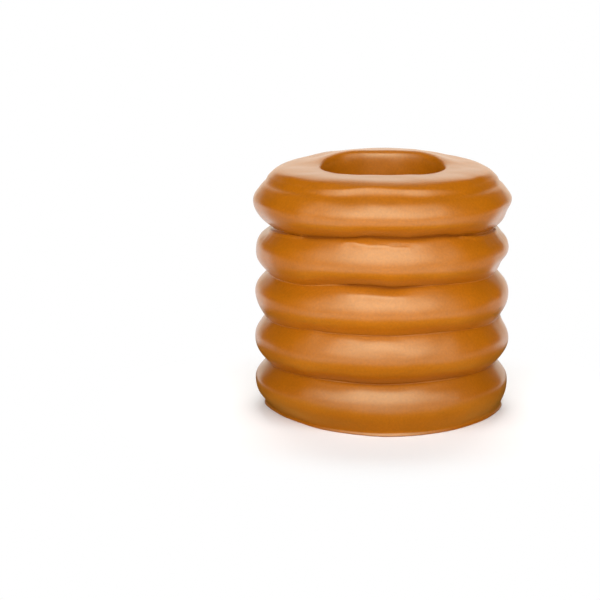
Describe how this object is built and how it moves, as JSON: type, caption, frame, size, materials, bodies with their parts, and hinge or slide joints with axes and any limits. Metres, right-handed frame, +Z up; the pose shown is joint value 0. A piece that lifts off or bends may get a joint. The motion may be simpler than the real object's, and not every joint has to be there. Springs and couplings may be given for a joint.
{
  "type": "chocolate-coated spit cake",
  "caption": "Round spit cake baked in stacked rings with a bore down the middle, coated all over in milk chocolate; a whole, uncut cake that stands on its flat underside.",
  "frame": {"origin": "middle of the flat underside, on the bore's axis", "axes": "+Z up along the bore, -Y towards the side that the cake is shown from, +X to the right seen from there"},
  "size_m": [0.1237, 0.124, 0.1172],
  "materials": {
    "milk_chocolate": "milk chocolate coat with a soft gloss, light caramel brown"
  },
  "bodies": {
    "root": {"cake": "milk_chocolate"}
  },
  "joints": []
}
